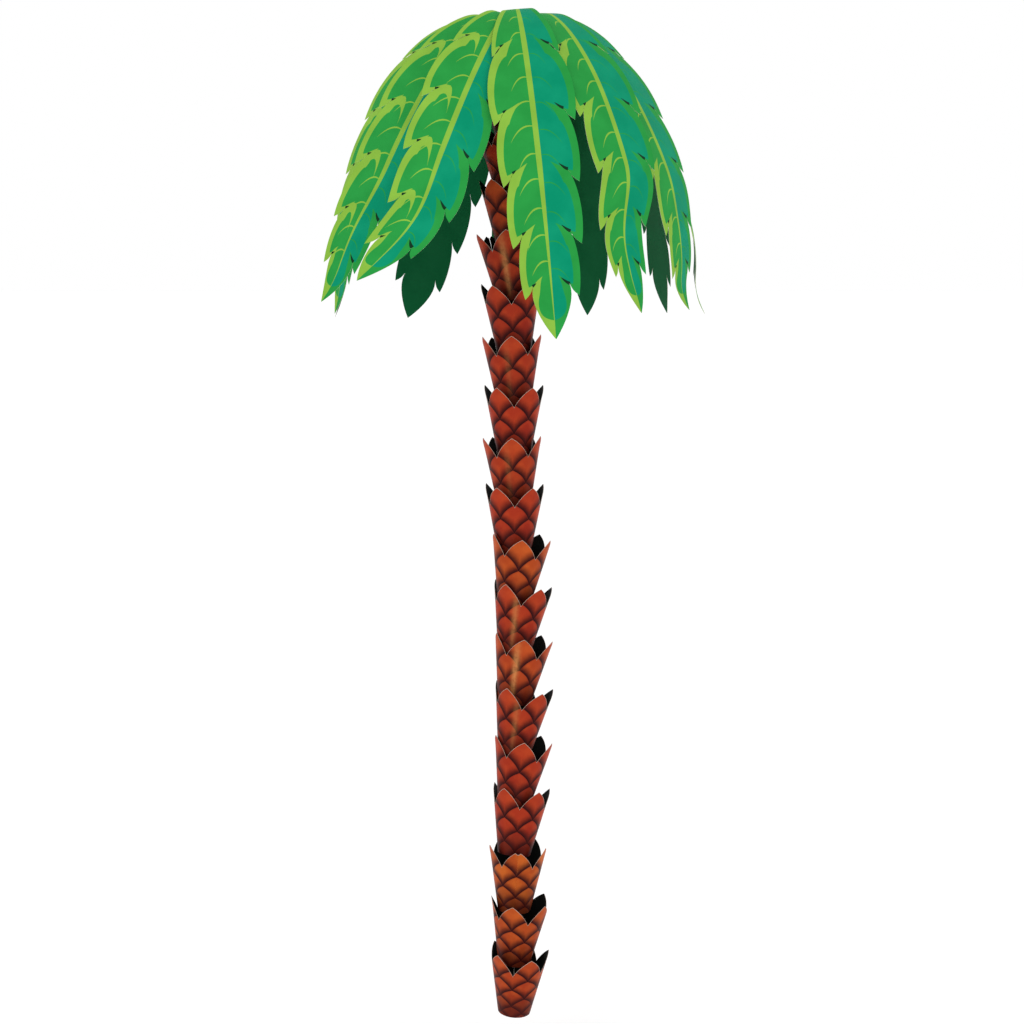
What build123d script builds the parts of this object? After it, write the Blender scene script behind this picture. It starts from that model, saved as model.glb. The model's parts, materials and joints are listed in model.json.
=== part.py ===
from build123d import *
import os
from math import asin, atan2, cos, degrees, pi, radians, sin, sqrt

# A hanging palm tree of printed card. Millimetres, +Z up, +X to the right of
# someone facing the tree, -Y towards them. The origin is the centre of the
# eyelet that the tree hangs from.

# --- Card, line, fasteners, and the length of what cuts right through ---
CARD = 0.6
LINE_RADIUS = 1.0
CLEARANCE = 0.4
THROUGH = 200.0

# --- Hub: round discs with the frond tabs clamped between them in layers ---
HUB_RADIUS = 55.0
HUB_DISC = 2.0
LAYER_PITCH = 3.2
HUB_CAVITY_RADIUS = 12.0
EYELET_BORE = 3.0
EYELET_WALL = 0.6
EYELET_FLANGE_RADIUS = 6.5
BRAD_CIRCLE_RADIUS = HUB_RADIUS - 11.0
BRAD_SHANK_RADIUS = 1.0
BRAD_HEAD_RADIUS = 4.0
BRAD_HEAD = 0.8

# --- Fronds: a tab in the hub, a scored fold, then a long lobed leaf ---
TAB_INNER_RADIUS = 18.0
TAB_WIDTH = 18.0
FOLD_RADIUS = HUB_RADIUS + 5.0
FOLD_GAP = 1.2
LEAF_LENGTH = 870.0

# Bends along a leaf after the fold: each has its share of the leaf's length
# and its turn. The arch ends at one heading, whatever the rise at the fold.
ARCH_SHARE = 0.1092
ARCH_HEADING = -30.0
LEAF_BENDS = [(0.0920, -16), (0.2069, -16), (0.3218, -13)]
TAIL_SHARE = 0.1494

# Lobes along a leaf: share of its length and half width, at tip and notch.
LOBE_TIPS = [(0.270, 76), (0.466, 90), (0.624, 84), (0.775, 76), (0.899, 60)]
LOBE_NOTCHES = [(0.240, 54), (0.432, 66), (0.590, 60), (0.742, 52), (0.868, 40)]
LOBE_BULGE = 0.06
SWEEP_START = 0.6

# Each frond: compass angle from the front, layer in the hub, rise at the
# fold, roll about its own direction, how fully it droops, turn of its tail,
# outward turn of its tip, sideways sweep of its tip, sideways curl, how far
# its lower lobes slim down, and extra length.
FRONDS = [
    (4, 0, 46, -5, 1.12, -6, 0, 0, 0, 0.0, 40),
    (38, 1, 41, -4, 1.04, -18, 30, 26, 45, 0.3, -15),
    (60, 2, 33, -9, 1.05, -30, 46, 0, 32, 0.25, -20),
    (87, 3, 28, -12, 1.00, -18, 34, 0, 0, 0.1, 0),
    (112, 4, 24, -13, 1.00, -5, 16, 0, 0, 0.0, 0),
    (138, 5, 20, -14, 1.02, -5, 14, 0, 0, 0.0, 0),
    (162, 6, 17, -14, 1.03, -5, 12, 0, 0, 0.0, 0),
    (192, 7, 14, -15, 1.00, -5, 10, 0, 0, 0.0, 0),
    (265, 5, 25, 14, 1.05, -5, 16, 0, 0, 0.0, 0),
    (300, 4, 27, 17, 1.22, -6, 8, 0, 0, 0.3, -20),
    (328, 3, 34, 18, 1.10, -12, 16, 50, 10, 0.3, -10),
    (350, 2, 38, 18, 1.12, -6, 4, 85, -14, 0.1, -45),
]

# --- Trunk: flared card sleeves on one line, each foot in the next mouth ---
SLEEVE_HEIGHT = 165.0
FOOT_RADIUS = 40.0
MOUTH_RADIUS = 72.0
SLEEVE_PITCH = 124.0
TRUNK_DROP = 83.0
SCALLOPS = 5
SCALLOP_DEPTH = 47.0
SCALLOP_BULGE = 3.2
SCALLOP_TIP_FLAT = 1.0
SEAM_LAP_ANGLE = 14.0
SEAM_LAP_SHORT = 4.0
SEAM_NICK_WIDTH = 7.0
SEAM_NICK_DEPTH = 9.0
STRAP_WIDTH = 16.0
STRAP_LIFT = 2.0
STRAP_HOLE_RADIUS = LINE_RADIUS + 0.6
STRAP_EAR = 12.0
BEAD_RADIUS = 4.0
BEAD_GAP = 1.2
LINE_TAIL = 4.0

# Each sleeve's lean at rest, as a share of the lean at which neighbouring
# sleeves would touch: to the right, and towards the front.
LEANS = [
    (-0.46, 0), (-0.69, 0), (-0.39, 0.18), (-0.64, -0.18), (-0.26, 0.28), (-0.21, 0),
    (0, 0.18), (-0.18, 0), (0.07, 0.18), (0.64, 0.14), (0.75, -0.18), (0.81, -0.18),
    (0.84, 0), (0.81, -0.18), (0.62, -0.46), (0.33, 0), (0.55, 0.41), (0.44, 0.6),
]

# Each sleeve's drop below the one above it, as a share of the usual pitch.
DROPS = [
    0, 1, 1, 1, 1, 1, 0.97, 0.98, 0.94,
    0.99, 0.96, 1.02, 1, 1.03, 1.01, 1.14, 1.06, 1.02,
]

# Seams face the back, each half a scallop from its neighbour's, but for these.
TURNS = {15: 0, 16: 200, 17: 168}

LAYERS = 1 + max(frond[1] for frond in FRONDS)
LAYER_TOP = -HUB_DISC / 2 - CARD / 2
HUB_BOTTOM = LAYER_TOP - (LAYERS - 1) * LAYER_PITCH - CARD / 2 - HUB_DISC
FIRST_FOOT = HUB_BOTTOM - TRUNK_DROP - SLEEVE_HEIGHT
WALL_SLOPE = atan2(MOUTH_RADIUS - FOOT_RADIUS, SLEEVE_HEIGHT)
WALL = CARD / cos(WALL_SLOPE)
NEST_GAP = (MOUTH_RADIUS - FOOT_RADIUS) * SLEEVE_PITCH / SLEEVE_HEIGHT - WALL
FREE_LEAN = degrees(asin(NEST_GAP / SLEEVE_PITCH))


def layer_height(layer):
    return LAYER_TOP - layer * LAYER_PITCH


def save(shape, name, colour):
    shape.label = name
    shape.color = Color(*colour)
    export_step(shape, f"parts/{name}.step")


def turned(shape, angle):
    """Turn a shape that points along +X to a compass angle from the front."""
    return Rot(0, 0, angle - 90) * shape


def ring(outer, inner, bottom, top):
    height = top - bottom
    middle = Pos(0, 0, (bottom + top) / 2)
    return middle * (Cylinder(outer, height) - Cylinder(inner, THROUGH))


# --- Hub ---
def brad_holes(shape):
    for frond in FRONDS:
        hole = Pos(BRAD_CIRCLE_RADIUS, 0, 0) * Cylinder(BRAD_SHANK_RADIUS, THROUGH)
        shape -= turned(hole, frond[0])
    return shape


def hub_disc(bottom):
    return brad_holes(ring(HUB_RADIUS, EYELET_BORE + EYELET_WALL, bottom, bottom + HUB_DISC))


def hub_spacers():
    spacers = []
    for layer in range(LAYERS - 1):
        top = layer_height(layer) - CARD / 2
        bottom = layer_height(layer + 1) + CARD / 2
        spacers.append(brad_holes(ring(HUB_RADIUS, HUB_CAVITY_RADIUS, bottom, top)))
    return Compound(children=spacers)


def eyelet(disc_bottom):
    """A rolled metal eyelet that lines the hole of one hub disc."""
    outer = EYELET_BORE + EYELET_WALL
    disc_top = disc_bottom + HUB_DISC
    barrel = ring(outer, EYELET_BORE, disc_bottom - EYELET_WALL, disc_top + EYELET_WALL)
    upper = ring(EYELET_FLANGE_RADIUS, EYELET_BORE, disc_top, disc_top + EYELET_WALL)
    lower = ring(EYELET_FLANGE_RADIUS, EYELET_BORE, disc_bottom - EYELET_WALL, disc_bottom)
    return barrel + upper + lower


def hub_brads():
    """One round-headed brad through each frond's tab and the whole stack."""
    top = HUB_DISC / 2
    height = top - HUB_BOTTOM
    brads = []
    for frond in FRONDS:
        brad = Pos(0, 0, top - height / 2) * Cylinder(BRAD_SHANK_RADIUS, height)
        brad += Pos(0, 0, top + BRAD_HEAD / 2) * Cylinder(BRAD_HEAD_RADIUS, BRAD_HEAD)
        brad += Pos(0, 0, HUB_BOTTOM - BRAD_HEAD / 2) * Cylinder(BRAD_HEAD_RADIUS, BRAD_HEAD)
        brads.append(turned(Pos(BRAD_CIRCLE_RADIUS, 0, 0) * brad, frond[0]))
    return Compound(children=brads)


def frond_tabs():
    length = FOLD_RADIUS - FOLD_GAP - TAB_INNER_RADIUS
    tabs = []
    for frond in FRONDS:
        tab = Pos(TAB_INNER_RADIUS + length / 2, 0, layer_height(frond[1])) * Box(length, TAB_WIDTH, CARD)
        tab -= Pos(BRAD_CIRCLE_RADIUS, 0, 0) * Cylinder(BRAD_SHANK_RADIUS, THROUGH)
        tabs.append(turned(tab, frond[0]))
    return Compound(children=tabs)


# --- Fronds ---
class Leaf:
    """One leaf in its own frame: X out from the fold, Z up, Y to its left."""

    def __init__(self, rise, droop, tail_turn, tip_turn, sweep, curl, slim, extra):
        self.length = LEAF_LENGTH + extra
        self.rise = rise
        self.sweep = sweep
        self.curl = curl
        self.slim = slim
        self.bends = [(ARCH_SHARE * LEAF_LENGTH, ARCH_HEADING - rise)]
        for share, turn in LEAF_BENDS:
            self.bends.append((share * LEAF_LENGTH, turn * droop))
        self.bends.append((TAIL_SHARE * LEAF_LENGTH, tail_turn))
        tip = self.length - sum(span for span, _ in self.bends)
        self.bends.append((tip, tip_turn))

    def station(self, along):
        """Position and heading of the leaf's middle line at a length from the fold."""
        x = 0.0
        z = 0.0
        heading = radians(self.rise)
        for span, turn in self.bends:
            step = min(along, span)
            bend = radians(turn) * step / span
            chord = step if bend == 0 else step * sin(bend / 2) / (bend / 2)
            x += chord * cos(heading + bend / 2)
            z += chord * sin(heading + bend / 2)
            heading += bend
            along -= step
            if along <= 0:
                break
        return x, z, heading

    def surface(self, along, offset):
        x, z, heading = self.station(along)
        return Vector(x - offset * sin(heading), 0, z + offset * cos(heading))

    def face_edges(self, offset):
        """The edges of one face of the card, from the fold to the tip."""
        edges = []
        reached = 0.0
        for span, turn in self.bends:
            points = [self.surface(reached + part * span, offset) for part in (0, 0.5, 1)]
            edges.append(Line(points[0], points[2]) if turn == 0 else ThreePointArc(*points))
            reached += span
        return edges

    def ribbon(self, reach):
        top = self.face_edges(CARD / 2)
        under = self.face_edges(-CARD / 2)
        ends = [
            Line(self.surface(0, CARD / 2), self.surface(0, -CARD / 2)),
            Line(self.surface(self.length, CARD / 2), self.surface(self.length, -CARD / 2)),
        ]
        section = make_face(Wire(top + under + ends))
        return extrude(section, reach, dir=(0, 1, 0), both=True)

    def swept_share(self, along):
        start = SWEEP_START * self.length
        return max(0.0, along - start) / (self.length - start)

    def outline_point(self, plane, along, half_width, side):
        x, z, _ = self.station(along)
        share = self.swept_share(along)
        narrowed = half_width * (1 - self.slim * share * share * (3 - 2 * share))
        y = side * narrowed - self.sweep * share ** 2 - self.curl * sin(pi * share) ** 2
        local = plane.to_local_coords(Vector(x, y, z))
        return Vector(local.X, local.Y)

    def edge(self, plane, side):
        """The lobed edge of one side, from the fold to the tip."""
        edges = []
        start = (0.0, TAB_WIDTH / 2)
        stops = [tip + notch for tip, notch in zip(LOBE_TIPS, LOBE_NOTCHES)] + [(1.0, 0, 1.0, 0)]
        for tip_share, tip_half, notch_share, notch_half in stops:
            end = (tip_share * self.length, tip_half)
            run = end[0] - start[0]
            bulge = LOBE_BULGE * run if start[0] else 0
            middle = ((start[0] + end[0]) / 2, (start[1] + end[1]) / 2 + bulge)
            points = [self.outline_point(plane, *point, side) for point in (start, middle, end)]
            edges.append(ThreePointArc(*points))
            start = (notch_share * self.length, notch_half)
            if tip_half:
                edges.append(Line(points[2], self.outline_point(plane, *start, side)))
        return edges

    def solid(self):
        """The bent card, cut to its lobed outline square to its middle slope."""
        headings = [self.rise]
        for _, turn in self.bends:
            headings.append(headings[-1] + turn)
        slope = radians((max(headings) + min(headings)) / 2)
        plane = Plane((0, 0, 0), x_dir=(cos(slope), 0, sin(slope)), z_dir=(-sin(slope), 0, cos(slope)))
        root = Line(*[self.outline_point(plane, 0, TAB_WIDTH / 2, side) for side in (1, -1)])
        outline = make_face(Wire(self.edge(plane, 1) + self.edge(plane, -1) + [root]))
        cutter = extrude(plane * outline, 2 * self.length, both=True)
        widest = max(half for _, half in LOBE_TIPS)
        return self.ribbon(widest + abs(self.sweep) + abs(self.curl) + TAB_WIDTH) & cutter


def frond(angle, layer, rise, roll, *shape):
    leaf = Leaf(rise, *shape).solid()
    placed = Pos(FOLD_RADIUS, 0, layer_height(layer)) * Rot(-roll, 0, 0) * leaf
    return turned(placed, angle)


# --- Trunk ---
def foot_height(number):
    return FIRST_FOOT - SLEEVE_PITCH * sum(DROPS[:number + 1])


def wall_radius(height):
    return FOOT_RADIUS + (MOUTH_RADIUS - FOOT_RADIUS) * height / SLEEVE_HEIGHT


def cone_shell(inset, bottom, top, angle=360):
    """A flared wall of card whose outside is inset from the sleeve's outside."""
    outer = [(wall_radius(height) - inset * WALL, height) for height in (bottom, top)]
    inner = [(radius - WALL, height) for radius, height in reversed(outer)]
    section = make_face(Plane.XZ * Polyline(*outer, *inner, close=True))
    return revolve(section, Axis.Z, angle)


def scallop_cutter():
    """What is cut away between two neighbouring scallop tips, at +X."""
    half = MOUTH_RADIUS * sin(pi / SCALLOPS) - SCALLOP_TIP_FLAT / 2
    notch = (0, SLEEVE_HEIGHT - SCALLOP_DEPTH)
    chord = sqrt(half ** 2 + SCALLOP_DEPTH ** 2)
    middle = (
        half / 2 - SCALLOP_BULGE * SCALLOP_DEPTH / chord,
        SLEEVE_HEIGHT - SCALLOP_DEPTH / 2 + SCALLOP_BULGE * half / chord,
    )
    top = SLEEVE_HEIGHT + SCALLOP_BULGE
    edges = [
        ThreePointArc(notch, middle, (half, SLEEVE_HEIGHT)),
        Line((half, SLEEVE_HEIGHT), (half, top)),
        Line((half, top), (-half, top)),
        Line((-half, top), (-half, SLEEVE_HEIGHT)),
        ThreePointArc((-half, SLEEVE_HEIGHT), (-middle[0], middle[1]), notch),
    ]
    return extrude(Plane.YZ * make_face(Wire(edges)), THROUGH, dir=(1, 0, 0))


def seam_nick():
    """The V where the two ends of the card meet at one scallop's tip."""
    corners = [
        (0, SLEEVE_HEIGHT - SEAM_NICK_DEPTH),
        (SEAM_NICK_WIDTH / 2, SLEEVE_HEIGHT + 1),
        (-SEAM_NICK_WIDTH / 2, SLEEVE_HEIGHT + 1),
    ]
    return extrude(Plane.YZ * make_face(Polyline(*corners, close=True)), THROUGH, dir=(1, 0, 0))


def sleeve():
    """A flared sleeve with its seam and one scallop tip at +X."""
    shell = cone_shell(0, 0, SLEEVE_HEIGHT)
    lap_top = SLEEVE_HEIGHT - SCALLOP_DEPTH - SEAM_LAP_SHORT
    shell += Rot(0, 0, -SEAM_LAP_ANGLE / 2) * cone_shell(1, 0, lap_top, SEAM_LAP_ANGLE)
    for index in range(SCALLOPS):
        shell -= Rot(0, 0, (index + 0.5) * 360 / SCALLOPS) * scallop_cutter()
    return shell - seam_nick()


def strap():
    """The card strap across a sleeve's foot, with its two glued ears."""
    span = FOOT_RADIUS - 2 * CARD - CLEARANCE
    body = Pos(0, 0, STRAP_LIFT) * Box(2 * span, STRAP_WIDTH, CARD)
    for side in (1, -1):
        middle = (side * (span - CARD / 2), 0, STRAP_LIFT + STRAP_EAR / 2)
        body += Pos(*middle) * Box(CARD, STRAP_WIDTH / 2, STRAP_EAR)
    inside = wall_radius(STRAP_LIFT) - CARD - CLEARANCE / 2
    rounded = Pos(0, 0, STRAP_LIFT) * Cylinder(inside, 3 * STRAP_EAR)
    return (body & rounded) - Cylinder(STRAP_HOLE_RADIUS, THROUGH)


def sleeve_turn(number):
    """Compass angle of a sleeve's seam."""
    half_step = 180 / SCALLOPS if number % 2 else 0
    return TURNS.get(number, 180 + half_step)


def placed_sleeve(shape, number):
    """Lean a sleeve about the middle of its strap and hang it on the line."""
    side, front = [share * FREE_LEAN for share in LEANS[number]]
    leaned = Rot(front, side, 0) * Pos(0, 0, -STRAP_LIFT) * shape
    return Pos(0, 0, foot_height(number) + STRAP_LIFT) * leaned


def bead(height):
    return Pos(0, 0, height) * (Sphere(BEAD_RADIUS) - Cylinder(LINE_RADIUS, 3 * BEAD_RADIUS))


def bead_heights():
    """One bead over the hub's lower eyelet and one under each strap."""
    heights = [HUB_BOTTOM + HUB_DISC + EYELET_WALL + BEAD_GAP + BEAD_RADIUS]
    drop = CARD / 2 + BEAD_GAP + BEAD_RADIUS
    heights += [foot_height(number) + STRAP_LIFT - drop for number in range(len(LEANS))]
    return heights


def line_beads():
    return Compound(children=[bead(height) for height in bead_heights()])


def hang_line():
    heights = bead_heights()
    top = heights[0] + BEAD_RADIUS + CLEARANCE
    bottom = heights[-1] - BEAD_RADIUS - LINE_TAIL
    return Pos(0, 0, (top + bottom) / 2) * Cylinder(LINE_RADIUS, top - bottom)


GREEN = (0.13, 0.55, 0.25)
BROWN = (0.62, 0.23, 0.12)
CARD_GREY = (0.55, 0.48, 0.38)
METAL = (0.72, 0.66, 0.45)


def make_hub():
    save(hub_disc(-HUB_DISC / 2), "hub_top_disc", GREEN)
    save(hub_spacers(), "hub_spacers", CARD_GREY)
    save(hub_disc(HUB_BOTTOM), "hub_bottom_disc", GREEN)
    save(eyelet(-HUB_DISC / 2), "hanging_eyelet", METAL)
    save(eyelet(HUB_BOTTOM), "line_eyelet", METAL)
    save(hub_brads(), "hub_brads", METAL)
    save(frond_tabs(), "frond_tabs", GREEN)


def make_fronds():
    for number, values in enumerate(FRONDS, start=1):
        save(frond(*values), f"frond_{number:02d}", GREEN)


def make_trunk():
    save(hang_line(), "hang_line", CARD_GREY)
    save(line_beads(), "line_beads", METAL)
    for number in range(len(LEANS)):
        turn = sleeve_turn(number)
        turned_sleeve = turned(sleeve(), turn)
        turned_strap = turned(strap(), turn + 90)
        save(placed_sleeve(turned_sleeve, number), f"sleeve_{number + 1:02d}", BROWN)
        save(placed_sleeve(turned_strap, number), f"strap_{number + 1:02d}", CARD_GREY)


os.makedirs("parts", exist_ok=True)
make_hub()
make_fronds()
make_trunk()
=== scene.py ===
import json
import math
from random import Random

import bpy
from mathutils import Matrix, Vector, geometry


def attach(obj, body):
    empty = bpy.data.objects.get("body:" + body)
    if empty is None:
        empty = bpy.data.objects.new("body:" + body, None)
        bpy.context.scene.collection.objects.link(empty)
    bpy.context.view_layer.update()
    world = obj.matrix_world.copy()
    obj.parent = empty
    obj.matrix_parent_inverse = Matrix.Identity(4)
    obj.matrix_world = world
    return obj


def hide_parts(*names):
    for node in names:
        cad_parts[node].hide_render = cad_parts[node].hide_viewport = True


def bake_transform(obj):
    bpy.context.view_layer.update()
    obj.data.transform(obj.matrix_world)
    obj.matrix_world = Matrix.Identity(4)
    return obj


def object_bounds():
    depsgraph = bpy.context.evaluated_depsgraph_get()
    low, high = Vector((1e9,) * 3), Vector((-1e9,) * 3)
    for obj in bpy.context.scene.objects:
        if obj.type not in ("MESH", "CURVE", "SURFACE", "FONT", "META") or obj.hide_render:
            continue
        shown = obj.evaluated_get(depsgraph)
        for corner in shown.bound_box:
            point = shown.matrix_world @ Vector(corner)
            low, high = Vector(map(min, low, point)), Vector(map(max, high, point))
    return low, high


# A hanging palm tree of printed card. The script works in millimetres in the
# frame of the CAD model: +Z up, +X to the right seen from the front, -Y to
# the front. A frond or a sleeve is drawn flat, as regions of ink on a card,
# cut into triangles, and then bent to its shape.

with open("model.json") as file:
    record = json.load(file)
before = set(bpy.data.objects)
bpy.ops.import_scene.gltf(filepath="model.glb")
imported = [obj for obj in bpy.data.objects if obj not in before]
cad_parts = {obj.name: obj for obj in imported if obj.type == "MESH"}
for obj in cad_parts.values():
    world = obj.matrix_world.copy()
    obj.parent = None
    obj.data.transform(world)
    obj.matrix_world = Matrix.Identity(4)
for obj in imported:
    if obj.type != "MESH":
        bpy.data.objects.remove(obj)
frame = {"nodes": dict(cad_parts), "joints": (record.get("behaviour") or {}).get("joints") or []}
cad_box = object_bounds()
MM = 0.001
CARD = 0.6

# --- Fronds: sizes along and across the flat card ---
TAB_LENGTH = 42.0
TAB_HALF = 9.0
LEAF_LENGTH = 870.0
ARCH_SHARE = 0.1092
ARCH_HEADING = -30.0
LEAF_BENDS = [(0.0920, -16), (0.2069, -16), (0.3218, -13)]
TAIL_SHARE = 0.1494
LOBE_TIPS = [(0.270, 76), (0.466, 90), (0.624, 84), (0.775, 76), (0.899, 60)]
LOBE_NOTCHES = [(0.240, 54), (0.432, 66), (0.590, 60), (0.742, 52), (0.868, 40)]
SWEEP_START = 0.6
CAMBER = 0.0004
LOBE_CURL = 2.2
LOBE_CURL_REACH = 45.0

# Lines that the bends of a frond's card follow: those across are finer near
# the fold, and those along it are at these places.
FOLD_ZONE = 130.0
FINE_PITCH = 6.0
COARSE_PITCH = 14.0
GUIDE_HALF = 130.0
GUIDES_ALONG = (-54.0, -27.0, 27.0, 54.0)

# Each frond: rise at the fold, how fully it droops, turn of its tail, outward
# turn of its tip, sideways sweep of its tip, sideways curl, how far its lower
# lobes slim down, extra length.
FRONDS = [
    (46, 1.12, -6, 0, 0, 0, 0.0, 40),
    (41, 1.04, -18, 30, 26, 45, 0.3, -15),
    (33, 1.05, -30, 46, 0, 32, 0.25, -20),
    (28, 1.00, -18, 34, 0, 0, 0.1, 0),
    (24, 1.00, -5, 16, 0, 0, 0.0, 0),
    (20, 1.02, -5, 14, 0, 0, 0.0, 0),
    (17, 1.03, -5, 12, 0, 0, 0.0, 0),
    (14, 1.00, -5, 10, 0, 0, 0.0, 0),
    (25, 1.05, -5, 16, 0, 0, 0.0, 0),
    (27, 1.22, -6, 8, 0, 0, 0.3, -20),
    (34, 1.10, -12, 16, 50, 10, 0.3, -10),
    (38, 1.12, -6, 4, 85, -14, 0.1, -45),
]

# --- Frond print ---
LIME_BORDER = 13.0
LEAF_BORDER = 15.0
TIP_BORDER = 42.0
RIB_HALF = 6.0
RIB_START = 8.0
RIB_END_SHARE = 0.975
VEIN_PITCH = 62.0
FIRST_LIME_VEIN = 60.0
FIRST_LEAF_VEIN = 69.0
LAST_VEIN_SHARE = 0.86
LEAST_VEIN_WIDTH = 22
LIME_VEIN = 3.1
LEAF_VEIN = 1.9
SHORT_SLIT = 8.0
LONG_SLIT = 18.0

# Where a notch's thorn ends, as a share of the half width there; and the
# fronds whose lime half also has horns and shorter thorns.
LIME_THORN = 0.44
HOOKED_THORN = 0.66
TEAL_THORN = 0.40
HOOKED = (10, 11, 12)

# --- Sleeves ---
SLEEVE_HEIGHT = 165.0
FOOT_RADIUS = 40.0
MOUTH_RADIUS = 72.0
SCALLOPS = 5
SCALLOP_DEPTH = 47.0
SCALLOP_BULGE = 3.2
STRAP_LIFT = 2.0
SLEEVE_PITCH = 124.0
LAP = 7.0
TUCK_ANGLE = 14.0
NICK_ANGLE = 2.6
NICK_DEPTH = 9.0
LAP_BELOW_NOTCH = 4.0
LAP_ROOM = 0.15
RIM = 1.0
MOUTH_ROW = 43.0
FOOT_ROW = 26.0
GUIDE_STEP = 5.0
GUIDE_HEIGHTS = (28.0, 56.0, 84.0, 104.0, 120.0, 136.0, 150.0)

# Where the seam of the lowest sleeves is turned to, in degrees from the front;
# the others' seams are at the back, turned half a scallop on every second one.
TURNS = {15: 0.0, 16: 200.0, 17: 168.0}

# Each sleeve's lean at rest, as a share of the lean at which neighbouring
# sleeves would touch: to the right, and towards the front.
LEANS = [
    (-0.46, 0), (-0.69, 0), (-0.39, 0.18), (-0.64, -0.18), (-0.26, 0.28), (-0.21, 0),
    (0, 0.18), (-0.18, 0), (0.07, 0.18), (0.64, 0.14), (0.75, -0.18), (0.81, -0.18),
    (0.84, 0), (0.81, -0.18), (0.62, -0.46), (0.33, 0), (0.55, 0.41), (0.44, 0.6),
]
WALL = CARD * math.hypot(1, (MOUTH_RADIUS - FOOT_RADIUS) / SLEEVE_HEIGHT)
NEST_GAP = (MOUTH_RADIUS - FOOT_RADIUS) * SLEEVE_PITCH / SLEEVE_HEIGHT - WALL
FREE_LEAN = math.degrees(math.asin(NEST_GAP / SLEEVE_PITCH))

# Tables of sleeves count from 0 at the top. These have a print that is more
# orange, or drawn smaller, than the others'.
PRINT_TINTS = {2: 0.35, 9: 0.6, 11: 0.4, 15: 1.0, 16: 0.65, 17: 0.4}
PRINT_SCALES = {14: 0.92, 15: 0.85, 16: 0.85, 17: 0.76}

# Sleeves with a painted highlight streak down the front, standing in for the strip lamp's glare,
# and how strong; and where the streak is and how wide.
GLARE_STREAKS = {3: 0.75, 5: 0.15, 7: 0.15, 10: 0.5, 11: 0.85, 12: 0.3}
GLARE_ANGLE = -11.0
GLARE_WIDTH = 6.5


# --- Materials ---
def new_material(name):
    material = bpy.data.materials.new(name)
    material.use_nodes = True
    nodes = material.node_tree.nodes
    return material, nodes, material.node_tree.links, nodes["Principled BSDF"]


def set_values(node, **values):
    for name, value in values.items():
        node.inputs[name.replace("_", " ")].default_value = value
    return node


def flat_coordinates(nodes):
    """The piece's own flat sheet, in metres, as a UV map."""
    node = nodes.new("ShaderNodeUVMap")
    node.uv_map = "flat"
    return node.outputs["UV"]


def noise(nodes, links, vector, scale, detail=2.0, roughness=0.5):
    node = nodes.new("ShaderNodeTexNoise")
    set_values(node, Scale=scale, Detail=detail, Roughness=roughness)
    links.new(vector, node.inputs["Vector"])
    return node.outputs["Fac"]


def remap(nodes, links, value, low, high, to_low, to_high, smooth=False):
    node = nodes.new("ShaderNodeMapRange")
    node.interpolation_type = "SMOOTHSTEP" if smooth else "LINEAR"
    links.new(value, node.inputs["Value"])
    set_values(node, From_Min=low, From_Max=high, To_Min=to_low, To_Max=to_high)
    return node.outputs["Result"]


def mix(nodes, links, factor, first, second):
    """A colour mix; each of first and second is a colour or a socket."""
    node = nodes.new("ShaderNodeMix")
    node.data_type = "RGBA"
    for key, value in ((0, factor), (6, first), (7, second)):
        if isinstance(value, bpy.types.NodeSocket):
            links.new(value, node.inputs[key])
        elif key:
            node.inputs[key].default_value = (*value, 1)
        else:
            node.inputs[key].default_value = value
    return node.outputs[2]


def calc(nodes, links, operation, *values):
    node = nodes.new("ShaderNodeMath")
    node.operation = operation
    for index, value in enumerate(values):
        if isinstance(value, bpy.types.NodeSocket):
            links.new(value, node.inputs[index])
        else:
            node.inputs[index].default_value = value
    return node.outputs[0]


def bump(nodes, links, shader, height, distance, strength):
    node = nodes.new("ShaderNodeBump")
    set_values(node, Strength=strength, Distance=distance)
    links.new(height, node.inputs["Height"])
    links.new(node.outputs["Normal"], shader.inputs["Normal"])


def ink(name, colour, gloss=0.04, rough=0.5):
    """Satin ink on card: fine print grain, soft mottling, faint fibres and pale cracks in the ink
    at the fold.
    """
    material, nodes, links, shader = new_material(name)
    flat = flat_coordinates(nodes)
    grain = noise(nodes, links, flat, 900, 1)
    cloud = noise(nodes, links, flat, 14, 3)
    fibre = noise(nodes, links, flat, 260, 4, 0.65)
    light = tuple(min(1.0, c * 1.06 + 0.003) for c in colour)
    dark = tuple(c * 0.93 for c in colour)
    base = mix(nodes, links, remap(nodes, links, cloud, 0.3, 0.7, 0, 1, True), dark, light)
    base = mix(nodes, links, remap(nodes, links, grain, 0.35, 0.65, 0.0, 0.10), base, light)
    along = nodes.new("ShaderNodeSeparateXYZ")
    links.new(flat, along.inputs[0])
    from_fold = calc(nodes, links, "ABSOLUTE", along.outputs["Y"])
    near_fold = remap(nodes, links, from_fold, 0.0004, 0.0022, 1, 0, True)
    crack = remap(nodes, links, fibre, 0.48, 0.56, 0, 0.7, True)
    cracked = calc(nodes, links, "MULTIPLY", near_fold, crack)
    links.new(mix(nodes, links, cracked, base, (0.72, 0.74, 0.62)), shader.inputs["Base Color"])
    roughness = remap(nodes, links, cloud, 0.2, 0.8, rough - 0.06, rough + 0.10)
    links.new(roughness, shader.inputs["Roughness"])
    set_values(shader, Specular_IOR_Level=gloss)
    bump(nodes, links, shader, fibre, 0.00012, 0.35)
    return material


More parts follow.
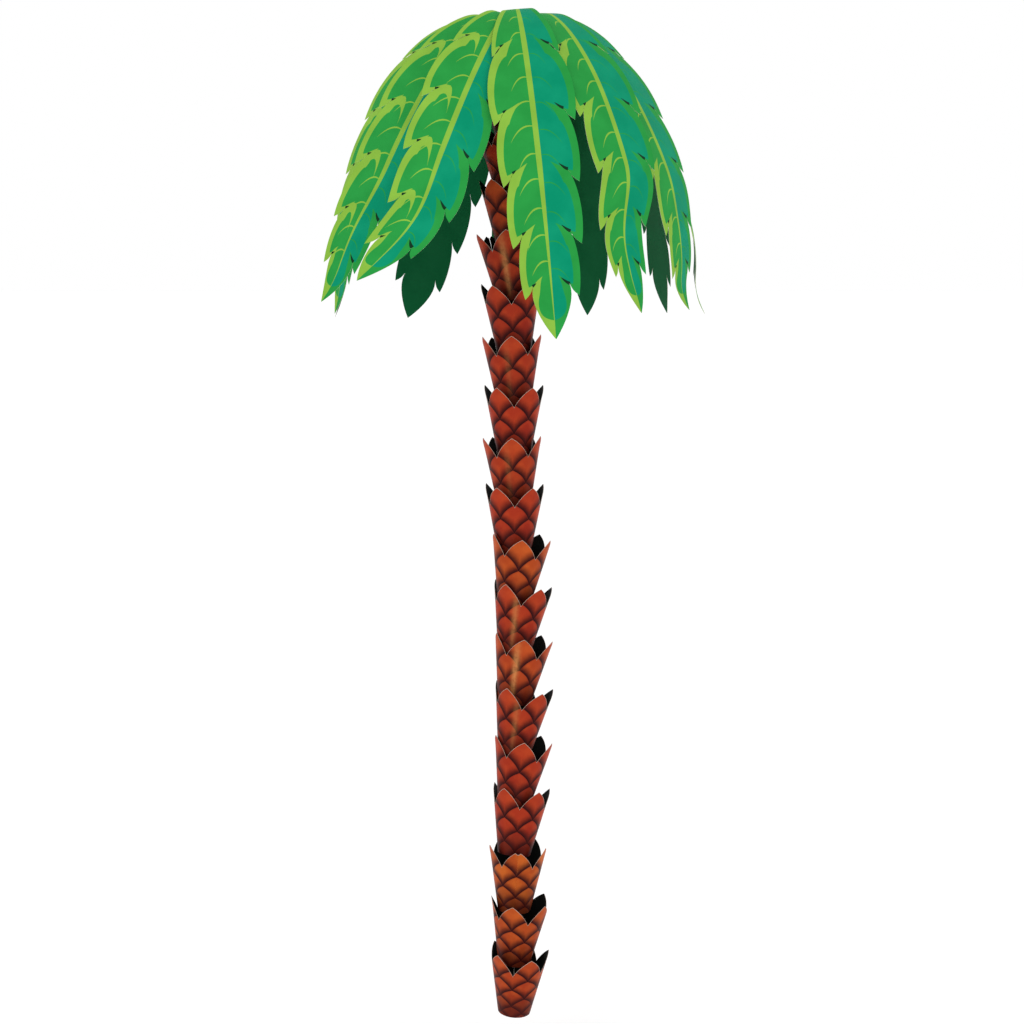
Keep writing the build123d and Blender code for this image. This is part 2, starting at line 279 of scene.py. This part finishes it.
def plain_card(name, colour):
    """Unprinted card: matt, with fibres and flecks."""
    material, nodes, links, shader = new_material(name)
    place = nodes.new("ShaderNodeTexCoord").outputs["Object"]
    fibre = noise(nodes, links, place, 420, 5, 0.6)
    fleck = noise(nodes, links, place, 1500, 1)
    dull, dark = [c * 0.82 for c in colour], [c * 0.5 for c in colour]
    base = mix(nodes, links, remap(nodes, links, fibre, 0.3, 0.7, 0, 1), dull, colour)
    base = mix(nodes, links, remap(nodes, links, fleck, 0.64, 0.7, 0, 0.5), base, dark)
    links.new(base, shader.inputs["Base Color"])
    links.new(remap(nodes, links, fibre, 0.2, 0.8, 0.65, 0.87), shader.inputs["Roughness"])
    bump(nodes, links, shader, fibre, 0.0002, 0.4)
    return material


def plated_metal():
    material, nodes, links, shader = new_material("plated_metal")
    place = nodes.new("ShaderNodeTexCoord").outputs["Object"]
    scuff = noise(nodes, links, place, 700, 4, 0.7)
    tint = remap(nodes, links, scuff, 0.35, 0.7, 0, 1)
    base = mix(nodes, links, tint, (0.70, 0.62, 0.40), (0.86, 0.80, 0.62))
    links.new(base, shader.inputs["Base Color"])
    links.new(remap(nodes, links, scuff, 0.3, 0.7, 0.18, 0.42), shader.inputs["Roughness"])
    set_values(shader, Metallic=1.0)
    bump(nodes, links, shader, scuff, 0.00006, 0.4)
    return material


def twisted_thread():
    """Two-ply thread: slanting ridges round and along the line."""
    material, nodes, links, shader = new_material("twisted_thread")
    place = nodes.new("ShaderNodeTexCoord").outputs["Object"]
    wave = nodes.new("ShaderNodeTexWave")
    wave.wave_type = "BANDS"
    wave.bands_direction = "DIAGONAL"
    set_values(wave, Scale=220.0, Distortion=1.0, Detail=1.0)
    links.new(place, wave.inputs["Vector"])
    ridge = wave.outputs["Fac"]
    base = mix(nodes, links, ridge, (0.36, 0.33, 0.28), (0.78, 0.75, 0.68))
    links.new(base, shader.inputs["Base Color"])
    links.new(remap(nodes, links, ridge, 0, 1, 0.9, 0.65), shader.inputs["Roughness"])
    bump(nodes, links, shader, ridge, 0.0005, 0.8)
    return material


def moulded_plastic():
    material, nodes, links, shader = new_material("moulded_plastic")
    place = nodes.new("ShaderNodeTexCoord").outputs["Object"]
    cloud = noise(nodes, links, place, 130, 3)
    base = mix(nodes, links, cloud, (0.62, 0.58, 0.50), (0.78, 0.75, 0.68))
    links.new(base, shader.inputs["Base Color"])
    links.new(remap(nodes, links, cloud, 0.3, 0.7, 0.22, 0.36), shader.inputs["Roughness"])
    bump(nodes, links, shader, cloud, 0.0001, 0.3)
    return material


def scale_print():
    """Overlapping bark scales printed on a sleeve, from its columns and rows, with painted shade
    towards its foot and, on some sleeves, a painted highlight streak.
    """
    material, nodes, links, shader = new_material("scale_print")
    lattice = nodes.new("ShaderNodeUVMap")
    lattice.uv_map = "lattice"
    split = nodes.new("ShaderNodeSeparateXYZ")
    links.new(lattice.outputs["UV"], split.inputs[0])

    def m(operation, *values):
        return calc(nodes, links, operation, *values)

    column, row = split.outputs["X"], split.outputs["Y"]
    half_row = m("MULTIPLY", row, 0.5)
    rising = m("ADD", column, half_row)
    falling = m("SUBTRACT", column, half_row)

    def inside_cell(value):
        return m("SUBTRACT", m("FRACT", m("ADD", value, 0.5)), 0.5)

    def bulged(value, other, amount):
        curve = m("SUBTRACT", 0.25, m("MULTIPLY", other, other))
        return m("ADD", value, m("MULTIPLY", curve, amount))

    rise_in, fall_in = inside_cell(rising), inside_cell(falling)
    rising = bulged(rising, fall_in, -0.34)
    falling = bulged(falling, rise_in, 0.34)
    rise_in, fall_in = inside_cell(rising), inside_cell(falling)
    cell = nodes.new("ShaderNodeCombineXYZ")
    links.new(m("FLOOR", m("ADD", rising, 0.5)), cell.inputs[0])
    links.new(m("FLOOR", m("ADD", falling, 0.5)), cell.inputs[1])
    own = nodes.new("ShaderNodeTexWhiteNoise")
    own.noise_dimensions = "2D"
    links.new(cell.outputs[0], own.inputs["Vector"])

    upper = m("MINIMUM", m("SUBTRACT", 0.5, rise_in), m("ADD", 0.5, fall_in))
    lower = m("MINIMUM", m("ADD", 0.5, rise_in), m("SUBTRACT", 0.5, fall_in))
    flat = flat_coordinates(nodes)
    brush = noise(nodes, links, flat, 95, 4, 0.6)
    cloud = noise(nodes, links, flat, 22, 3)
    fibre = noise(nodes, links, flat, 420, 4, 0.65)

    def mark(name):
        node = nodes.new("ShaderNodeAttribute")
        node.attribute_name = name
        return node.outputs["Fac"]

    tint = mark("tint")
    red = mix(nodes, links, tint, (0.28, 0.017, 0.008), (0.35, 0.052, 0.009))
    orange = mix(nodes, links, tint, (0.39, 0.038, 0.012), (0.51, 0.110, 0.016))
    patchy = remap(nodes, links, cloud, 0.35, 0.65, 0, 0.6, True)
    warm = m("ADD", patchy, m("MULTIPLY", own.outputs["Value"], 0.5))
    body = mix(nodes, links, warm, red, orange)
    wobble = m("MULTIPLY", m("SUBTRACT", brush, 0.5), 0.12)
    shade = remap(nodes, links, m("ADD", lower, wobble), 0.0, 0.50, 1.0, 0, True)
    body = mix(nodes, links, shade, body, (0.028, 0.003, 0.004))
    height = nodes.new("ShaderNodeSeparateXYZ")
    links.new(flat, height.inputs[0])
    # Painted shade: the print darkens towards the foot, where the sleeve sits in the mouth of the
    # sleeve below.
    foot = remap(nodes, links, height.outputs["Y"], 0.015, 0.085, 0.75, 0, True)
    body = mix(nodes, links, foot, body, (0.045, 0.006, 0.005))
    upper_rim = remap(nodes, links, upper, 0.0, 0.07, 0.45, 0, True)
    body = mix(nodes, links, upper_rim, body, (0.14, 0.014, 0.008))
    line = remap(nodes, links, lower, 0.01, 0.05, 0.85, 0, True)
    body = mix(nodes, links, line, body, (0.012, 0.002, 0.002))
    # Painted highlight: a pale streak down the front of some sleeves, standing in for the strip
    # lamp's glare.
    glare_strength = m("MULTIPLY", mark("painted_glare"), remap(nodes, links, brush, 0.25, 0.6, 0.55, 1, True))
    body = mix(nodes, links, glare_strength, body, (0.58, 0.235, 0.075))
    links.new(body, shader.inputs["Base Color"])
    links.new(remap(nodes, links, brush, 0.2, 0.8, 0.34, 0.50), shader.inputs["Roughness"])
    set_values(shader, Specular_IOR_Level=0.05)
    bump(nodes, links, shader, fibre, 0.00012, 0.35)
    return material


MATERIALS = {
    "lime": ink("ink_lime", (0.225, 0.44, 0.048)),
    "leaf": ink("ink_leaf", (0.018, 0.285, 0.048)),
    "teal": ink("ink_teal", (0.000, 0.262, 0.134)),
    "slit": ink("ink_slit", (0.004, 0.030, 0.012)),
    "under": ink("ink_underside", (0.003, 0.092, 0.029), 0.03, 0.6),
    "edge": plain_card("card_edge", (0.62, 0.58, 0.48)),
    "print": scale_print(),
    "rim": plain_card("card_rim", (0.50, 0.36, 0.28)),
    "black": ink("ink_black", (0.004, 0.005, 0.004), 0.05, 0.6),
}
INKS = list(MATERIALS)


# --- Flat drawing: regions of ink, cut into triangles ---
def curve(start, end, handle_a, handle_b, steps):
    """Points of a Bezier curve, without its first point."""
    points = []
    for step in range(1, steps + 1):
        t = step / steps
        weights = ((1 - t) ** 3, 3 * t * (1 - t) ** 2, 3 * t * t * (1 - t), t ** 3)
        corners = (start, handle_a, handle_b, end)
        points.append(tuple(sum(w * p[axis] for w, p in zip(weights, corners)) for axis in (0, 1)))
    return points


def straight(start, end, pitch):
    steps = max(1, math.ceil(math.dist(start, end) / pitch))
    return [
        tuple(a + (b - a) * step / steps for a, b in zip(start, end))
        for step in range(1, steps + 1)
    ]


def signed_area(outline):
    """Above zero when the outline runs anticlockwise."""
    return sum(a[0] * b[1] - b[0] * a[1] for a, b in zip(outline, outline[1:] + outline[:1])) / 2


def triangulate(regions, lines):
    """Triangles of the first region's area, each with the ink of the last region over it.

    A region is (ink, points). A line is a list of points that the triangles follow.
    """
    points, edges, faces = [], [], []
    for _, outline in regions:
        corners = list(range(len(points), len(points) + len(outline)))
        faces.append(corners if signed_area(outline) > 0 else corners[::-1])
        points += outline
    for line in lines:
        edges += [(len(points) + step, len(points) + step + 1) for step in range(len(line) - 1)]
        points += line
    made = geometry.delaunay_2d_cdt([Vector(p) for p in points], edges, faces, 1, 0.002)
    flat, _, triangles, _, _, origins = made
    kept = []
    for triangle, owners in zip(triangles, origins):
        if 0 in owners and len(triangle) == 3:
            kept.append((tuple(triangle), regions[max(owners)][0]))
    return flat, kept


def card_mesh(name, flat, triangles, place, back, edge_ink, lattice=None, marks=()):
    """A closed card: printed face, back face and cut edge.

    place(point, side) bends a flat point to the face at side half a card's thickness.
    Each of marks is an attribute's name and a function from flat point to value.
    """
    used = sorted({index for triangle, _ in triangles for index in triangle})
    renumber = {index: number for number, index in enumerate(used)}
    count = len(used)
    vertices = [place(flat[index], side) * MM for side in (0.5, -0.5) for index in used]
    faces, inks, directed = [], [], set()
    for triangle, colour in triangles:
        a, b, c = (renumber[index] for index in triangle)
        faces += [(a, b, c), (c + count, b + count, a + count)]
        inks += [colour, back]
        directed |= {(a, b), (b, c), (c, a)}
    for a, b in sorted(directed):
        if (b, a) not in directed:
            faces.append((b, a, a + count, b + count))
            inks.append(edge_ink)
    mesh = bpy.data.meshes.new(name)
    mesh.from_pydata(vertices, [], faces)
    palette = sorted(set(inks), key=INKS.index)
    for colour in palette:
        mesh.materials.append(MATERIALS[colour])
    mesh.polygons.foreach_set("material_index", [palette.index(colour) for colour in inks])
    smooth = [colour != edge_ink or len(face) == 3 for colour, face in zip(inks, faces)]
    mesh.polygons.foreach_set("use_smooth", smooth)
    sheet = mesh.uv_layers.new(name="flat")
    grid = mesh.uv_layers.new(name="lattice") if lattice else None
    for loop in mesh.loops:
        point = flat[used[loop.vertex_index % count]]
        sheet.data[loop.index].uv = (point[1] * MM, point[0] * MM)
        if grid:
            grid.data[loop.index].uv = lattice(point)
    for attribute, value in marks:
        layer = mesh.attributes.new(attribute, "FLOAT", "POINT")
        layer.data.foreach_set("value", [value(flat[index]) for index in used] * 2)
    piece = bpy.data.objects.new(name, mesh)
    bpy.context.scene.collection.objects.link(piece)
    sharp_rim(mesh)
    return piece


def sharp_rim(mesh):
    """Keep the cut edge crisp between smooth faces."""
    smooth = {}
    for polygon in mesh.polygons:
        for key in polygon.edge_keys:
            smooth.setdefault(key, set()).add(polygon.use_smooth)
    for edge in mesh.edges:
        edge.use_edge_sharp = False in smooth.get(edge.key, {True})


# --- Fronds ---
class Leaf:
    """A frond's card. Flat points are (along from the fold, across to its right)."""

    def __init__(self, number, rise, droop, tail_turn, tip_turn, sweep, curl, slim, extra):
        self.number = number
        self.length = LEAF_LENGTH + extra
        self.rise = math.radians(rise)
        self.sweep, self.curl, self.slim = sweep, curl, slim
        self.bends = [(ARCH_SHARE * LEAF_LENGTH, ARCH_HEADING - rise)]
        self.bends += [(share * LEAF_LENGTH, turn * droop) for share, turn in LEAF_BENDS]
        self.bends.append((TAIL_SHARE * LEAF_LENGTH, tail_turn))
        self.bends.append((self.length - sum(span for span, _ in self.bends), tip_turn))
        joint = next(j for j in frame["joints"] if j["name"] == f"frond_{number:02d}_bob")
        self.origin = Vector(joint["pos_m"]) / MM
        self.side = Vector(joint["axis"]).normalized()
        self.out = Vector((self.origin.x, self.origin.y, 0)).normalized()
        self.up = self.side.cross(self.out)
        self.chance = Random(number)
        self.lean = [self.chance.uniform(-1, 1) for _ in LOBE_TIPS]

    def station(self, along):
        """Distance out, height and heading of the middle line at a length from the fold."""
        if along <= 0:
            return along, 0.0, 0.0
        x = z = 0.0
        heading = self.rise
        for span, turn in self.bends:
            step = min(along, span)
            bend = math.radians(turn) * step / span
            chord = step if bend == 0 else step * math.sin(bend / 2) / (bend / 2)
            x += chord * math.cos(heading + bend / 2)
            z += chord * math.sin(heading + bend / 2)
            heading += bend
            along -= step
            if along <= 0:
                break
        return x, z, heading

    def lift(self, along, across):
        """How far the card stands off its middle line: a shallow camber and curled lobes."""
        if along <= 0:
            return 0.0
        height = -CAMBER * across * across
        for (tip, half), lean in zip(LOBE_TIPS, self.lean):
            near = math.exp(-(((along - tip * self.length) / LOBE_CURL_REACH) ** 2))
            reach = max(0.0, abs(across) / half - 0.35)
            height += LOBE_CURL * near * reach * (lean + 0.3 * math.copysign(1, across))
        return height

    def place(self, point, side):
        along, across = point[0], point[1]
        x, z, heading = self.station(along)
        offset = self.lift(along, across) + side * CARD
        start = SWEEP_START * self.length
        share = max(0.0, along - start) / (self.length - start)
        ease = share * share * (3 - 2 * share)
        across *= 1 - self.slim * ease
        across += self.sweep * share ** 2 + self.curl * math.sin(math.pi * share) ** 2
        x -= offset * math.sin(heading)
        z += offset * math.cos(heading)
        return self.origin + self.out * x + self.up * z + self.side * across

    # -- the drawing, as points of the right half; the left half mirrors them --
    def lobes(self):
        """(start, tip) of each lobe, as flat points of the right half."""
        stops = [(share * self.length, half) for share, half in LOBE_NOTCHES]
        starts = [(0.0, TAB_HALF)] + stops
        ends = [(share * self.length, half) for share, half in LOBE_TIPS] + [(self.length, 0.0)]
        return list(zip(starts, ends))

    def half_outline(self):
        """The cut edge of the right half, from the tab to the tip."""
        points = [(-TAB_LENGTH, TAB_HALF)] + straight((-TAB_LENGTH, TAB_HALF), (0.0, TAB_HALF), 6)
        for number, (start, end) in enumerate(self.lobes()):
            run = end[0] - start[0]
            rise = end[1] - start[1]
            if number == 0:
                first = (start[0] + 0.30 * run, start[1] + 0.34 * rise)
                second = (start[0] + 0.66 * run, start[1] + 0.98 * rise)
            elif end[1]:
                first = (start[0] + 0.16 * run, start[1] + 0.62 * rise + 0.05 * run)
                second = (start[0] + 0.62 * run, end[1] + 0.09 * run)
            else:
                first = (start[0] + 0.28 * run, start[1] + 0.10 * run)
                second = (start[0] + 0.72 * run, start[1] * 0.62)
            points += curve(start, end, first, second, 14)
            if end[1]:
                notch = (LOBE_NOTCHES[number][0] * self.length, LOBE_NOTCHES[number][1])
                bend = ((end[0] + notch[0]) / 2 + 3, (end[1] + notch[1]) / 2 - 3)
                points += curve(end, notch, bend, bend, 4)
        return points

    def half_panel(self, border, thorn):
        """The inner field of a half: the outline less its border, cut by thorns at the notches."""
        points = [(6.0, 1.0), (14.0, TAB_HALF * 0.45)]
        lobes = self.lobes()
        for number, (start, end) in enumerate(lobes):
            run = end[0] - start[0]
            rise = end[1] - start[1]
            here = points[-1]
            if end[1]:
                corner = (end[0] - 26.0, end[1] - border * 0.82)
                first = (start[0] + 0.20 * run, start[1] + 0.62 * rise + 0.03 * run - border)
                second = (start[0] + 0.62 * run, end[1] + 0.07 * run - border)
                if number == 0:
                    first = (start[0] + 0.34 * run, start[1] + 0.24 * rise)
                    second = (start[0] + 0.66 * run, start[1] + 0.94 * rise - border)
                points += curve(here, corner, first, second, 12)
                notch = lobes[number + 1][0]
                peak = (notch[0] - 20.0, notch[1] * thorn)
                first = (corner[0] - 3, corner[1] - 12)
                second = (peak[0] + 8, peak[1] + 14)
                points += curve(corner, peak, first, second, 6)
                below = (notch[0] + 30.0, notch[1] - border * 0.75)
                first = (peak[0] + 9, peak[1] + 7)
                second = (notch[0] + 8, notch[1] - 17)
                points += curve(peak, below, first, second, 7)
            else:
                corner = (end[0] - TIP_BORDER, 0.6)
                first = (here[0] + 0.3 * run, here[1] + 0.05 * run)
                second = (start[0] + 0.62 * run, here[1] * 0.58)
                points += curve(here, corner, first, second, 12)
        return points

    def rib_half(self, along):
        share = along / self.length
        swell = min(1.0, 0.5 + 2.2 * share)
        taper = min(1.0, max(0.0, (0.99 - share) / 0.42))
        return RIB_HALF * swell * taper + 0.15

    def rib(self):
        run = self.length * RIB_END_SHARE - RIB_START
        steps = [RIB_START + run * step / 40 for step in range(41)]
        right = [(along, self.rib_half(along)) for along in steps]
        return right + [(along, -half) for along, half in reversed(right)]

    def vein(self, along, reach, drop, thick):
        """A crescent that leaves the rib and falls away towards the tip."""
        upper, lower = [], []
        foot = self.rib_half(along) - 0.8
        for step in range(9):
            t = step / 8
            half = thick * (0.35 + 1.5 * t * (1 - t) ** 0.8) * (1 - t) ** 0.4
            down = along - 5 * math.sin(math.pi * t * 0.7) + drop * t ** 2.2
            across = foot + (reach - foot) * t
            upper.append((down - half, across + 0.3 * half))
            lower.append((down + half, across - 0.3 * half))
        return upper + lower[::-1][1:]

    def panel_width(self, along):
        """Half width of the leaf at a length along it, roughly."""
        tips = [(share * self.length, half) for share, half in LOBE_TIPS]
        knots = [(0.0, TAB_HALF)] + tips + [(self.length, 0)]
        for (a, low), (b, high) in zip(knots, knots[1:]):
            if a <= along <= b:
                return low + (high - low) * (along - a) / (b - a)
        return 0.0

    def veins(self, along, thick):
        """Crescents down one half, the first at a length from the fold."""
        shapes = []
        while along < LAST_VEIN_SHARE * self.length:
            width = self.panel_width(along)
            if width > LEAST_VEIN_WIDTH:
                reach = width * (0.60 + 0.06 * self.chance.uniform(-1, 1))
                shapes.append(self.vein(along, reach, 0.42 * width + 4, thick))
            along += VEIN_PITCH * self.chance.uniform(0.93, 1.07)
        return shapes

    def slits(self, long):
        """Dark slivers that run in from each notch, like gaps between lobes."""
        shapes = []
        for share, half in LOBE_NOTCHES:
            notch = (share * self.length, half)
            head = (notch[0] - long * 0.8, notch[1] - long)
            mouth = (notch[0] + 2.0 + long * 0.12, notch[1] + 1.0)
            near = (notch[0] - 3.0, notch[1] + 2.5)
            from_mouth = (mouth[0] - 1, mouth[1] - 0.45 * long)
            to_near = (near[0] - 1, near[1] - 0.35 * long)
            shape = curve(mouth, head, from_mouth, (head[0] + 3, head[1] + 2), 6)
            shape += curve(head, near, (head[0] + 1, head[1] + 4), to_near, 6)
            shapes.append([mouth] + shape)
        return shapes

    def hooks(self):
        """Lime horns that rise from each notch, turn over and run on towards the tip."""
        shapes = []
        for share, half in LOBE_NOTCHES[:4]:
            notch = (share * self.length, half)
            foot = (notch[0] + 14.0, half - 5.0)
            peak = (notch[0] - 17.0, half * 0.55)
            tail = (notch[0] + 50.0, half * 0.33)
            heel = (notch[0] + 28.0, half - 8.0)
            shape = curve(foot, peak, (foot[0] - 22, foot[1] - 3), (peak[0] - 2, peak[1] + 12), 7)
            shape += curve(peak, tail, (peak[0] + 6, peak[1] - 11), (tail[0] - 26, tail[1] + 2), 8)
            back = (notch[0] - 16, half * 0.68)
            shape += curve(tail, heel, (tail[0] - 38, tail[1] + 4), back, 10)
            shapes.append([foot] + shape)
        return shapes

    def regions(self):
        right = self.half_outline()
        middle = straight((self.length, 0.0), (-TAB_LENGTH, 0.0), 12)

        def mirror(points):
            return [(along, -across) for along, across in points]

        whole = right + mirror(right[:-1])[::-1]
        made = [("leaf", whole), ("lime", right + middle)]
        hooked = self.number in HOOKED
        thorn = HOOKED_THORN if hooked else LIME_THORN
        made.append(("leaf", self.half_panel(LIME_BORDER, thorn)))
        made.append(("teal", mirror(self.half_panel(LEAF_BORDER, TEAL_THORN))))
        made += [("lime", shape) for shape in self.veins(FIRST_LIME_VEIN, LIME_VEIN)]
        made += [("leaf", mirror(shape)) for shape in self.veins(FIRST_LEAF_VEIN, LEAF_VEIN)]
        if hooked:
            made += [("lime", shape) for shape in self.hooks()]
        made += [("slit", shape) for shape in self.slits(SHORT_SLIT)]
        made += [("slit", mirror(shape)) for shape in self.slits(LONG_SLIT)]
        made.append(("lime", self.rib()))
        return made

    def guide_lines(self):
        """Lines across and along the card that its bends follow."""
        lines = []
        along = -TAB_LENGTH
        while along < self.length:
            half = TAB_HALF * 0.98 if along <= 0 else GUIDE_HALF
            lines.append([(along, -half), (along, half)])
            along += FINE_PITCH if 0 <= along < FOLD_ZONE else COARSE_PITCH
        lines += [[(20.0, across), (self.length, across)] for across in GUIDES_ALONG]
        return lines

    def build(self):
        flat, triangles = triangulate(self.regions(), self.guide_lines())
        name = f"frond_{self.number:02d}"
        piece = card_mesh(name + "_card", flat, triangles, self.place, "under", "edge")
        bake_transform(piece)
        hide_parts(name, "frond_tabs")


# --- Sleeves ---
class Sleeve:
    """A flared sleeve. Flat points are (height, angle in degrees round from the seam)."""

    def __init__(self, number):
        self.name = f"sleeve_{number + 1:02d}"
        chance = Random(100 + number)
        joint = next(j for j in frame["joints"] if j["name"] == self.name + "_tilt")
        self.origin = Vector(joint["pos_m"]) / MM
        side, front = [math.radians(share * FREE_LEAN) for share in LEANS[number]]
        self.lean = Matrix.Rotation(front, 3, "X") @ Matrix.Rotation(side, 3, "Y")
        half_scallop = 180 / SCALLOPS if number % 2 else 0
        self.turn = TURNS.get(number, 180 + half_scallop)
        self.petals = [chance.uniform(-0.8, 2.4) for _ in range(SCALLOPS + 1)]
        self.oval = (chance.uniform(0, math.tau), chance.uniform(0.2, 0.7))
        self.row_scale = PRINT_SCALES.get(number, 1.0)
        self.tint = PRINT_TINTS.get(number, chance.uniform(0.0, 0.25))
        self.glare_strength = GLARE_STREAKS.get(number, 0.0)

    def place(self, point, side):
        height, angle = point[0], point[1]
        notch = SLEEVE_HEIGHT - SCALLOP_DEPTH
        rim_share = max(0.0, height - notch) / SCALLOP_DEPTH
        petal = self.petals[round(min(max(angle, 0), 360) * SCALLOPS / 360)]
        radius = FOOT_RADIUS + (MOUTH_RADIUS - FOOT_RADIUS) * height / SLEEVE_HEIGHT
        radius += petal * rim_share ** 2 + (side - 0.5) * CARD
        wave = math.cos(2 * math.radians(angle) + self.oval[0])
        radius += self.oval[1] * wave * height / SLEEVE_HEIGHT
        tuck = min(1.0, max(0.0, (angle - 360 + TUCK_ANGLE) / TUCK_ANGLE))
        radius -= tuck * tuck * (3 - 2 * tuck) * (CARD + LAP_ROOM)
        around = math.radians(angle + self.turn - 90)
        local = Vector((radius * math.cos(around), radius * math.sin(around), height - STRAP_LIFT))
        return self.origin + self.lean @ local

    def top_edge(self, lowered=0.0):
        """The scalloped edge from the seam round to the seam, lowered for the printed field."""
        half = MOUTH_RADIUS * math.sin(math.pi / SCALLOPS) - 0.5
        chord = math.hypot(half, SCALLOP_DEPTH)
        away = (half / chord, -SCALLOP_DEPTH / chord)
        rising = []
        for step in range(11):
            t = step / 10
            swell = 4 * t * (1 - t) * SCALLOP_BULGE
            across = half * t + away[1] * swell
            height = SLEEVE_HEIGHT - SCALLOP_DEPTH * (1 - t) + away[0] * swell
            angle = math.degrees(math.asin(across / MOUTH_RADIUS))
            rising.append((height - lowered, angle))
        points = []
        for index in range(SCALLOPS):
            middle = (index + 0.5) * 360 / SCALLOPS
            points += [(height, middle - angle) for height, angle in reversed(rising)]
            points += [(height, middle + angle) for height, angle in rising[1:]]
        kept = [p for p in points if NICK_ANGLE <= p[1] <= 360 - NICK_ANGLE]
        nick = SLEEVE_HEIGHT - NICK_DEPTH - lowered
        return [(nick, 0.0)] + kept + [(nick, 360.0)]

    def regions(self):
        lap_top = SLEEVE_HEIGHT - SCALLOP_DEPTH - LAP_BELOW_NOTCH
        tail = straight((0.0, 360.0 + LAP), (0.0, 0.0), 6)
        shared = [(lap_top, 360.0), (lap_top, 360.0 + LAP), (0.0, 360.0 + LAP)] + tail
        return [("rim", self.top_edge() + shared), ("print", self.top_edge(RIM) + shared)]

    def guide_lines(self):
        count = int((360.0 + LAP) / GUIDE_STEP)
        angles = [GUIDE_STEP * step for step in range(1, count + 1)]
        lines = [[(0.0, angle), (SLEEVE_HEIGHT, angle)] for angle in angles]
        lines += [[(height, 0.0), (height, 360.0 + LAP)] for height in GUIDE_HEIGHTS]
        return lines

    def lattice(self, point):
        """Columns and rows of the printed scales; rows shrink towards the foot."""
        height, angle = point[0], point[1]
        grow = (MOUTH_ROW - FOOT_ROW) / SLEEVE_HEIGHT
        rows = math.log((FOOT_ROW + grow * height) / MOUTH_ROW) / grow / self.row_scale
        return angle * SCALLOPS / 360, 1.0 + rows

    def painted_glare(self, point):
        """How much the painted highlight streak lightens the print: most in its middle."""
        away = (point[1] + self.turn - GLARE_ANGLE + 180) % 360 - 180
        along = min(1.0, max(0.0, point[0] / SLEEVE_HEIGHT))
        return self.glare_strength * math.exp(-((away / GLARE_WIDTH) ** 2)) * math.sin(math.pi * along) ** 0.7

    def build(self):
        flat, triangles = triangulate(self.regions(), self.guide_lines())
        triangles = [(triangle[::-1], colour) for triangle, colour in triangles]
        marks = (("tint", lambda point: self.tint), ("painted_glare", self.painted_glare))
        piece = card_mesh(
            self.name + "_card", flat, triangles, self.place, "black", "rim", self.lattice, marks
        )
        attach(piece, self.name + "_body")
        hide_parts(self.name)


def paint_cad_nodes():
    card = plain_card("plain_card", (0.50, 0.43, 0.32))
    green = ink("hub_green", (0.02, 0.20, 0.05))
    metal, thread, plastic = plated_metal(), twisted_thread(), moulded_plastic()
    looks = {
        "hub_top_disc": green,
        "hub_bottom_disc": green,
        "hub_spacers": card,
        "hanging_eyelet": metal,
        "line_eyelet": metal,
        "hub_brads": metal,
        "hang_line": thread,
        "line_beads": plastic,
    }
    for name, node in frame["nodes"].items():
        material = looks.get(name, card)
        node.data.materials.clear()
        node.data.materials.append(material)


# --- Studio ---
FLOOR_HALF = 400.0
FLOOR_DROP = 0.12


def area_light(name, place, aim, size, power):
    light = bpy.data.lights.new(name, "AREA")
    light.shape = "RECTANGLE"
    light.size, light.size_y = size
    light.energy = power
    lamp = bpy.data.objects.new(name, light)
    lamp.location = place
    lamp.rotation_euler = (Vector(aim) - Vector(place)).to_track_quat("-Z", "Y").to_euler()
    bpy.context.scene.collection.objects.link(lamp)


def studio():
    scene = bpy.context.scene
    scene.view_settings.view_transform = "Standard"
    world = bpy.data.worlds.new("studio")
    world.use_nodes = True
    set_values(world.node_tree.nodes["Background"], Color=(1, 1, 1, 1), Strength=1.0)
    scene.world = world
    mesh = bpy.data.meshes.new("floor")
    level = cad_box[0].z - FLOOR_DROP
    signs = ((-1, -1), (1, -1), (1, 1), (-1, 1))
    corners = [(x * FLOOR_HALF, y * FLOOR_HALF, level) for x, y in signs]
    mesh.from_pydata(corners, [], [(0, 1, 2, 3)])
    floor = bpy.data.objects.new("floor", mesh)
    material, _, _, shader = new_material("pale_floor")
    set_values(shader, Base_Color=(0.97, 0.97, 0.97, 1), Roughness=0.9, Emission_Color=(1, 1, 1, 1))
    set_values(shader, Emission_Strength=0.06)
    mesh.materials.append(material)
    scene.collection.objects.link(floor)
    area_light("key", (-2.2, -3.6, 1.6), (0, 0, -0.9), (2.2, 2.6), 22)
    area_light("fill", (2.6, -3.0, 0.0), (0, 0, -1.2), (2.0, 3.0), 8)
    area_light("strip", (-0.35, -3.4, -1.0), (0, 0, -1.2), (0.16, 3.0), 5)


def camera():
    """5 m in front of the tree, above its middle and looking a little down."""
    data = bpy.data.cameras.new("camera")
    data.lens = 73.3
    data.sensor_width = 36.0
    holder = bpy.data.objects.new("camera", data)
    eye = Vector((-0.005, -5.0, -0.6))
    aim = Vector((-0.005, 0.0, -1.154))
    holder.location = eye
    holder.rotation_euler = (aim - eye).to_track_quat("-Z", "Y").to_euler()
    bpy.context.scene.collection.objects.link(holder)
    bpy.context.scene.camera = holder


camera()
studio()
paint_cad_nodes()
for index, values in enumerate(FRONDS, start=1):
    Leaf(index, *values).build()
for index in range(len(LEANS)):
    Sleeve(index).build()
